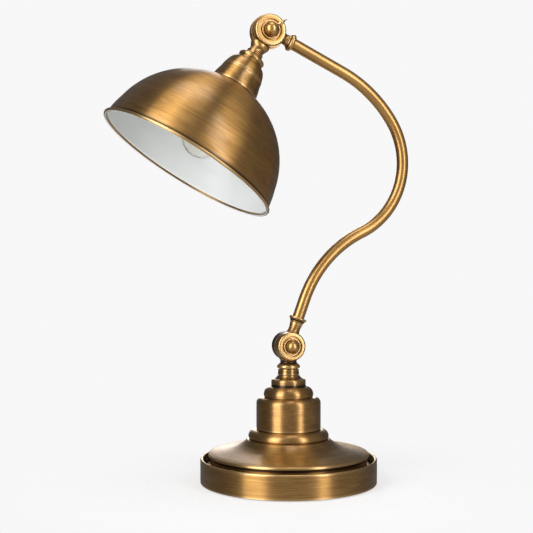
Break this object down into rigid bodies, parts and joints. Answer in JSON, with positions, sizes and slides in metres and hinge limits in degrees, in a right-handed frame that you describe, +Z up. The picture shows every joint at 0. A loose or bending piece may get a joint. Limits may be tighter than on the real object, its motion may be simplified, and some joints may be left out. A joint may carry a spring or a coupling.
{
  "type": "desk lamp",
  "caption": "Turned brass desk lamp: a round weighted base with a swivel stem, an S-curved arm between two clamped knuckles, and a spun dome shade with its bulb.",
  "frame": {"origin": "centre of the base's underside, on the surface it stands on", "axes": "+Z up along the base's axis, -Y towards the clamp knobs' side, -X towards the shade"},
  "size_m": [0.2935, 0.174, 0.4363],
  "materials": {
    "brass": "brushed antique brass, lacquered",
    "iron": "raw casting",
    "felt": "felt",
    "steel": "zinc plated",
    "plastic": "moulded",
    "enamel": "white enamel",
    "glass": "clear"
  },
  "bodies": {
    "base": {"felt_pad": "felt", "base_weight": "iron", "base_drum": "brass", "base_dome": "brass", "bead_ring": "brass", "column_drum": "brass", "column_cap": "brass", "neck_cup": "brass", "threaded_tube": "steel", "base_washer": "steel", "base_nut": "steel", "cord_bushing": "plastic"},
    "stem": {"swivel_stem": "brass", "lower_cap_nut": "brass"},
    "lower_clamp": {"lower_knob": "brass"},
    "arm": {"arm_foot": "brass", "lower_ferrule": "brass", "arm_tube": "brass", "upper_ferrule": "brass", "arm_head": "brass", "lower_friction_washer": "plastic", "upper_friction_washer": "plastic", "lower_ring": "brass"},
    "upper_clamp": {"upper_knob": "brass", "upper_lever": "brass"},
    "shade": {"shade_knuckle": "brass", "upper_cap_nut": "brass", "neck_collar": "brass", "cap_bead": "brass", "socket_cap": "brass", "socket_cup": "brass", "socket_nipple": "steel", "holder_body": "plastic", "holder_shell": "steel", "holder_contact": "steel", "shade_ring": "plastic", "shade_shell": "brass", "shade_lining": "enamel", "bulb_glass": "glass", "bulb_cap": "steel", "bulb_contact": "steel"}
  },
  "joints": [
    {"name": "stem_swivel", "type": "hinge", "parent": "base", "child": "stem", "pos_m": [0, 0, 0.105], "axis": [0, 0, 1], "range_deg": [-170, 170]},
    {"name": "lower_tilt", "type": "hinge", "parent": "stem", "child": "arm", "pos_m": [0, 0, 0.1271], "axis": [0, 1, 0], "range_deg": [-50, 60]},
    {"name": "lower_clamp_turn", "type": "hinge", "parent": "stem", "child": "lower_clamp", "pos_m": [0, 0, 0.1271], "axis": [0, 1, 0], "range_deg": [-90, 90]},
    {"name": "upper_tilt", "type": "hinge", "parent": "arm", "child": "shade", "pos_m": [-0.01967, 0, 0.42019], "axis": [0, 1, 0], "range_deg": [-40, 58]},
    {"name": "upper_clamp_turn", "type": "hinge", "parent": "shade", "child": "upper_clamp", "pos_m": [-0.01967, 0, 0.42019], "axis": [0, 1, 0], "range_deg": [-90, 40]}
  ]
}
